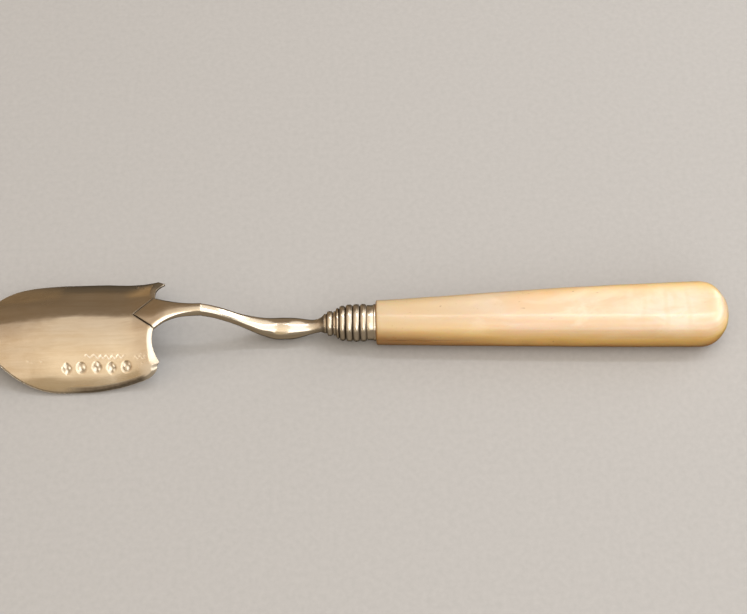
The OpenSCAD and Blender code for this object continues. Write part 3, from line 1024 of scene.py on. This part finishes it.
def silver(name, roughness, tarnish_and_shade, scratch):
    """Old polished silver: tarnish, worn edges, grime in recesses, hairline scratches, and the painted shade
    and painted highlights that the grime and wear fields also carry.
    """
    material, tree, shader = new_material(name)
    shader.inputs["Metallic"].default_value = 1.0
    where = coords(tree)
    grime = field(tree, "grime")
    patches = ramp(noise(where, 95, 5, 0.6, 0.4), 0.45, 0.75)
    streaks = noise(coords(tree, (70, 900, 900), (0, 0, 0.04)), 1.0, 5, 0.65, 0.5)
    patches = plus(patches, times(ramp(streaks, 0.42, 0.72), 0.8))
    fine = noise(where, 1400, 6, 0.7)
    colour = blend(times(patches, tarnish_and_shade), SILVER, SILVER_TARNISH)
    colour = blend(times(field(tree, "wear"), 0.8), colour, SILVER_WORN_AND_HIGHLIGHT)
    colour = blend(times(grime, ramp(fine, 0.25, 0.55, 0.7, 1.0)), colour, SILVER_GRIME_AND_SHADE)

    rough = ramp(patches, 0, 1, roughness, roughness + 0.09)
    rough = plus(rough, ramp(fine, 0.35, 0.75, 0.0, 0.06))
    rough = plus(rough, times(grime, 0.35))
    rough = plus(rough, times(field(tree, "frost"), 0.36))

    along = noise(coords(tree, (60, 2600, 2600), (0, 0, 0.12)), 1.0, 3, 0.6)
    across = noise(coords(tree, (2200, 90, 400), (0, 0, -0.5)), 1.0, 3, 0.6)
    normal = bump(along, 0.10 * scratch, 0.00004)
    normal = bump(across, 0.06 * scratch, 0.00003, normal)
    normal = bump(fine, 0.05 * scratch, 0.00003, normal)
    connect(shader, colour, rough, normal)
    return material


NACRE_PALE = rgb(0.82, 0.70, 0.56)
NACRE_WARM = rgb(0.80, 0.58, 0.37)
NACRE_PINK = rgb(0.86, 0.66, 0.54)
NACRE_WHITE = rgb(0.96, 0.87, 0.77)
NACRE_PEARL_HIGHLIGHT = rgb(0.93, 0.79, 0.70)
NACRE_FRONT = rgb(0.58, 0.50, 0.39)
NACRE_AMBER = rgb(1.0, 0.67, 0.18)
NACRE_SHADE_BROWN = rgb(0.47, 0.24, 0.07)
NACRE_STAIN_AND_SHADE = rgb(0.30, 0.16, 0.06)


def nacre_body(tree, layers, clouds):
    """Cream layers with warm, pink and white clouds."""
    colour = blend(ramp(clouds, 0.35, 0.7), NACRE_PALE, NACRE_WARM)
    pink = noise(coords(tree, (40, 90, 90), (0.4, 0, 0.3)), 1.0, 3, 0.5, 0.8)
    colour = blend(ramp(pink, 0.5, 0.75, 0, 0.6), colour, NACRE_PINK)
    colour = blend(ramp(layers, 0.2, 0.9, 0, 0.38), colour, NACRE_WARM)
    white = noise(coords(tree, (80, 180, 180)), 1.0, 4, 0.6, 1.0)
    return blend(ramp(white, 0.47, 0.66, 0, 0.5), colour, NACRE_WHITE)


def nacre_butt(tree, colour, x, y, z):
    """An amber far edge, and pearly clouds with fan lines on top: the clouds are a painted highlight over the
    nacre's own pearly clouds.
    """
    far_edge = times(ramp(y, 0.0010, 0.0044, 0, 0.5), ramp(x, 0.02, 0.05))
    colour = blend(far_edge, colour, NACRE_AMBER)
    near_butt = times(ramp(x, 0.048, 0.060), ramp(x, 0.0695, 0.0645), ramp(y, 0.0036, 0.0016))
    on_top = ramp(z, 0.0068, 0.0086)
    # Pearly clouds on top near the butt, painted bright as a highlight
    highlight_clouds = noise(coords(tree, (130, 200, 200), (0, 0, 0.5)), 1.0, 4, 0.55, 1.2)
    highlight_clouds = times(ramp(highlight_clouds, 0.38, 0.62, 0, 0.8), on_top)
    colour = blend(times(near_butt, highlight_clouds), colour, NACRE_PEARL_HIGHLIGHT)
    fan = waves(
        coords(tree, (80, 130, 70), (0.4, 0.1, 0.7)), 3.0, 0.6,
        wave_type="RINGS", rings_direction="Z",
    ).outputs["Fac"]
    fan_lines = times(ramp(fan, 0.82, 1.0, 0, 0.25), times(near_butt, on_top))
    return blend(fan_lines, colour, NACRE_WARM)


def nacre_side_shade(colour, clouds, x, z):
    """Duller toward the shoulder, and painted shade down the sides: amber, then brown lower down, and darkest
    at the foot near the shoulder.
    """
    near_front = ramp(x, 0.036, 0.006)
    colour = blend(times(near_front, 0.75), colour, NACRE_FRONT)
    height = plus(z, ramp(clouds, 0.3, 0.7, -0.0006, 0.0006))
    height = plus(height, ramp(near_front, 0, 1, 0, -0.0018))
    # Painted shade down the sides by height: amber, then brown, and darkest at the front foot
    amber_shade = times(ramp(height, 0.0074, 0.0046, 0, 0.85), ramp(near_front, 0, 1, 1.0, 0.4))
    colour = blend(amber_shade, colour, NACRE_AMBER)
    colour = blend(ramp(height, 0.0052, 0.0024, 0, 0.95), colour, NACRE_SHADE_BROWN)
    front_foot_shade = times(near_front, ramp(height, 0.0034, 0.0008, 0, 0.8))
    return blend(front_foot_shade, colour, NACRE_STAIN_AND_SHADE)


def nacre(name):
    """Mother-of-pearl: layers cut at a low angle, clouds, specks, and a polished coat."""
    material, tree, shader = new_material(name)
    clouds = noise(coords(tree, (55, 150, 150)), 1.0, 4, 0.5, 0.6)
    layers = waves(
        coords(tree, (28, 190, 420), (0.15, 0.06, 0.05)), 5.0, 0.7,
        wave_type="BANDS", bands_direction="Z",
    )
    layers.inputs["Detail Roughness"].default_value = 0.6
    layers = layers.outputs["Fac"]
    place = add(tree, "SeparateXYZ", {"Vector": coords(tree)}).outputs
    x, y, z = place["X"], place["Y"], place["Z"]
    colour = nacre_body(tree, layers, clouds)
    colour = nacre_butt(tree, colour, x, y, z)
    colour = nacre_side_shade(colour, clouds, x, z)
    specks = noise(coords(tree, (1, 1.6, 1.6)), 620, 2, 0.4)
    colour = blend(ramp(specks, 0.735, 0.775, 0, 0.5), colour, NACRE_STAIN_AND_SHADE)
    colour = blend(times(field(tree, "grime"), 0.8), colour, NACRE_STAIN_AND_SHADE)

    rough = ramp(noise(coords(tree), 1600, 5, 0.6), 0.3, 0.7, 0.26, 0.42)
    normal = bump(layers, 0.05, 0.00006)
    grain = noise(coords(tree, (90, 900, 900)), 1.0, 4, 0.6)
    connect(shader, colour, rough, bump(grain, 0.05, 0.00004, normal))
    for key, value in (
        ("Coat Weight", 0.5), ("Coat Roughness", 0.16), ("Specular IOR Level", 0.6),
        ("Subsurface Weight", 0.45), ("Subsurface Radius", (1.0, 0.5, 0.2)), ("Subsurface Scale", 0.003),
    ):
        shader.inputs[key].default_value = value
    return material


def drawn_rod(name, colour, dark):
    """Drawn rod of the tang: dull, with draw lines along it."""
    material, tree, shader = new_material(name)
    shader.inputs["Metallic"].default_value = 1.0
    lines = noise(coords(tree, (60, 3000, 3000)), 1.0, 3, 0.6)
    connect(
        shader, blend(ramp(lines, 0.3, 0.8), colour, dark),
        ramp(lines, 0.2, 0.8, 0.3, 0.5), bump(lines, 0.3, 0.00004),
    )
    return material


def cement(name, colour, dark):
    material, tree, shader = new_material(name)
    grain = noise(coords(tree), 1800, 6, 0.7)
    lumps = noise(coords(tree), 420, 4, 0.6)
    mixed = blend(ramp(lumps, 0.35, 0.7), colour, dark)
    mixed = blend(ramp(grain, 0.45, 0.75, 0, 0.5), mixed, dark)
    rough = ramp(grain, 0.2, 0.8, 0.55, 0.85)
    connect(shader, mixed, rough, bump(grain, 0.5, 0.0001))
    return material


FLOOR_DARK = rgb(0.45, 0.465, 0.50)
FLOOR_PALE = rgb(0.49, 0.505, 0.54)


def floor_material():
    material, tree, shader = new_material("pale_floor")
    grain = noise(coords(tree), 900, 4, 0.6)
    colour = blend(ramp(grain, 0.3, 0.7), FLOOR_DARK, FLOOR_PALE)
    tree.links.new(colour, shader.inputs["Base Color"])
    tree.links.new(bump(grain, 0.15, 0.0001), shader.inputs["Normal"])
    shader.inputs["Roughness"].default_value = 0.9
    shader.inputs["Specular IOR Level"].default_value = 0.15
    return material


# ---- camera, floor and light

CAMERA_ELEVATION = radians(55)
CAMERA_DISTANCE = 0.32
CAMERA_LENS = 77.1
# Turn about the upright axis, and roll about the camera's own axis
CAMERA_YAW = radians(1.3)
CAMERA_ROLL = radians(-2.4)
# Point of the surface in the middle of the view, before the turn
AIM = Vector((0.00368, 0.00638, 0.0))
FLOOR_HALF = 4.0
# The floor lies this far below the spoon
FLOOR_GAP = 0.00002


def make_camera():
    data = bpy.data.cameras.new("camera")
    data.lens = CAMERA_LENS
    data.clip_start, data.clip_end = 0.01, 30
    camera = new_object("camera", data)
    forward = Vector((0, cos(CAMERA_ELEVATION), -sin(CAMERA_ELEVATION)))
    right = Vector((1, 0, 0))
    up = right.cross(forward)
    place = AIM - forward * CAMERA_DISTANCE
    c, s = cos(CAMERA_ROLL), sin(CAMERA_ROLL)
    rolled_right = right * c + up * s
    rolled_up = up * c - right * s
    axes = Matrix((rolled_right, rolled_up, -forward)).transposed().to_4x4()
    turn = Matrix.Rotation(CAMERA_YAW, 4, "Z")
    camera.matrix_world = turn @ Matrix.Translation(place) @ axes
    bpy.context.scene.camera = camera


def make_floor():
    mesh = bpy.data.meshes.new("floor")
    corners = [(x * FLOOR_HALF, y * FLOOR_HALF, 0) for x, y in ((-1, -1), (1, -1), (1, 1), (-1, 1))]
    mesh.from_pydata(corners, [], [(0, 1, 2, 3)])
    floor = new_object("floor", mesh)
    floor.location.z = -FLOOR_GAP
    mesh.materials.append(floor_material())
    # The metal mirrors the dim room, not the floor
    floor.visible_glossy = False
    floor.visible_diffuse = False


def softbox(name, centre, aim, size, radiance, colour):
    """A rectangular light. radiance is what a mirror shows of it."""
    data = bpy.data.lights.new(name, "AREA")
    data.shape = "RECTANGLE"
    data.size, data.size_y = size
    data.color = colour
    data.energy = radiance * pi * size[0] * size[1]
    light = new_object(name, data)
    direction = Vector(aim) - Vector(centre)
    light.location = centre
    light.rotation_mode = "QUATERNION"
    light.rotation_quaternion = direction.to_track_quat("-Z", "Y")


def ceiling(name, x_range, y_range, height, radiance, colour):
    """A softbox flat above the spoon."""
    middle = (sum(x_range) / 2, sum(y_range) / 2)
    size = (x_range[1] - x_range[0], y_range[1] - y_range[0])
    softbox(name, (*middle, height), (*middle, 0), size, radiance, colour)


# Heights of the dim ceiling's panels and of its lamps, and ranges they share
PANEL_Z, PANEL_Y = 0.80, (-1.75, 0.53)
LAMP_Z, LAMP_X = 0.78, (0.06, 1.1)
LEFT_X = (-1.9, -0.47)
# From here on, strips of the ceiling grow brighter toward the lamps
EDGE_X, EDGE_STEP = -0.12, 0.06
EDGE_RADIANCE = (0.68, 0.82, 1.00)
WARM_LIGHT = (1.0, 0.91, 0.78)
PALE_LIGHT = (1.0, 0.95, 0.86)


def make_lights():
    ceiling("overhead", (LEFT_X[1], EDGE_X), PANEL_Y, PANEL_Z, 0.57, (1.0, 0.875, 0.72))
    for k, radiance in enumerate(EDGE_RADIANCE):
        start = EDGE_X + EDGE_STEP * k
        ceiling(f"edge_{k}", (start, start + EDGE_STEP), PANEL_Y, PANEL_Z, radiance, (1.0, 0.91, 0.79))
    ceiling("left_front", LEFT_X, (-1.75, 0.06), PANEL_Z, 0.50, (1.0, 0.88, 0.73))
    ceiling("left_back", LEFT_X, (0.06, 0.53), PANEL_Z, 0.32, (1.0, 0.87, 0.74))
    ceiling("lamp_far", (0.15, 1.3), (0.82, 1.35), LAMP_Z, 0.55, WARM_LIGHT)
    ceiling("lamp_back", LAMP_X, (0.30, 0.82), LAMP_Z, 0.85, WARM_LIGHT)
    ceiling("lamp", LAMP_X, (-0.60, 0.30), LAMP_Z, 1.35, PALE_LIGHT)
    ceiling("lamp_front", (-0.06, 1.1), (-1.95, -0.60), LAMP_Z, 1.35, PALE_LIGHT)
    softbox("streak", (0.50, 0.24, 0.76), (0.50, 0.24, 0), (1.1, 0.07), 7.0, (1.0, 0.98, 0.94))
    softbox("front_wall", (0.53, -1.60, 0.55), (0.53, 0, 0.30), (1.34, 0.6), 1.2, (1.0, 0.94, 0.84))
    softbox("low_left", (-1.30, -1.00, 0.15), (0, 0, 0), (1.3, 0.16), 1.6, (1.0, 0.93, 0.82))
    softbox("window", (1.10, 0.28, 0.40), (0, 0, 0), (1.5, 0.62), 3.0, (1.0, 0.96, 0.90))


ROOM_BACK = rgb(0.235, 0.172, 0.112)
ROOM_FRONT = rgb(0.22, 0.18, 0.13)
ROOM_FRONT_LEFT = rgb(0.56, 0.44, 0.28)
ROOM_LEFT = rgb(0.40, 0.26, 0.135)
ROOM_BACK_LEFT = rgb(0.39, 0.265, 0.14)
ROOM_PATCH = rgb(0.13, 0.095, 0.06)
TABLE_FAR = rgb(0.125, 0.098, 0.068)
TABLE_BELOW = rgb(0.035, 0.028, 0.020)
TABLE_NEAR = rgb(0.25, 0.205, 0.15)
BACKDROP = rgb(0.62, 0.60, 0.57)


def room_colour(tree):
    """The dim room by direction: golden on the left, uneven, dark below."""
    where = add(tree, "TexCoord").outputs["Generated"]
    toward = add(tree, "SeparateXYZ", {"Vector": where}).outputs
    x, y, z = toward["X"], toward["Y"], toward["Z"]
    front = ramp(y, 0.3, -0.5)
    room = blend(front, ROOM_BACK, ROOM_FRONT)
    room = blend(times(front, ramp(x, 0.02, -0.13)), room, ROOM_FRONT_LEFT)
    left = times(ramp(x, -0.3, -0.62), ramp(y, 0.45, 0.05, 0.3, 1.0))
    room = blend(left, room, ROOM_LEFT)
    patches = ramp(noise(where, 3.0, 3, 0.5), 0.4, 0.7, 0, 0.35)
    room = blend(patches, room, ROOM_PATCH)
    table = blend(ramp(z, -0.25, -0.8), TABLE_FAR, TABLE_BELOW)
    table = blend(ramp(y, 0.0, -0.35), table, TABLE_NEAR)
    room = blend(ramp(z, 0.04, -0.04), room, table)
    back_left = times(ramp(x, -0.22, -0.30), ramp(x, -0.46, -0.38), ramp(y, 0.0, 0.3), ramp(z, 0.25, 0.12))
    return blend(back_left, room, ROOM_BACK_LEFT)


def make_world():
    """The room in reflections, and a pale backdrop for the camera."""
    world = bpy.data.worlds.new("room")
    bpy.context.scene.world = world
    world.use_nodes = True
    tree = world.node_tree
    tree.nodes.clear()
    dim = add(tree, "Background", {"Color": room_colour(tree)}).outputs[0]
    pale = add(tree, "Background", {"Color": BACKDROP}).outputs[0]
    seen = add(tree, "LightPath").outputs["Is Camera Ray"]
    both = add(tree, "MixShader", {"Fac": seen, 1: dim, 2: pale}).outputs[0]
    add(tree, "OutputWorld", {"Surface": both})


# ---- build

bpy.context.scene.view_settings.view_transform = "Standard"
make_camera()
make_floor()
make_lights()
make_world()

ring_silver = silver("silver_rings", 0.16, 0.6, 0.6)
bevel = Bevel()
bowl_piece(bevel, silver("silver_bowl", 0.13, 0.45, 1.0))
stem_piece(bevel, silver("silver_stem", 0.13, 0.5, 1.0))
collar_piece(ring_silver)
ferrule_piece(ring_silver)
handle_piece(nacre("nacre"))

# The pieces inside are CAD meshes with materials of their own
carried = {
    "tang": drawn_rod("tang_wire", rgb(0.55, 0.53, 0.50), rgb(0.32, 0.30, 0.27)),
    "ferrule_filling": cement("ferrule_resin", rgb(0.30, 0.17, 0.08), rgb(0.14, 0.08, 0.04)),
    "handle_cement": cement("handle_resin", rgb(0.45, 0.30, 0.16), rgb(0.24, 0.15, 0.08)),
}
for node_name, finish in carried.items():
    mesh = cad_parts[node_name].data
    if mesh.materials:
        mesh.materials[0] = finish
    else:
        mesh.materials.append(finish)
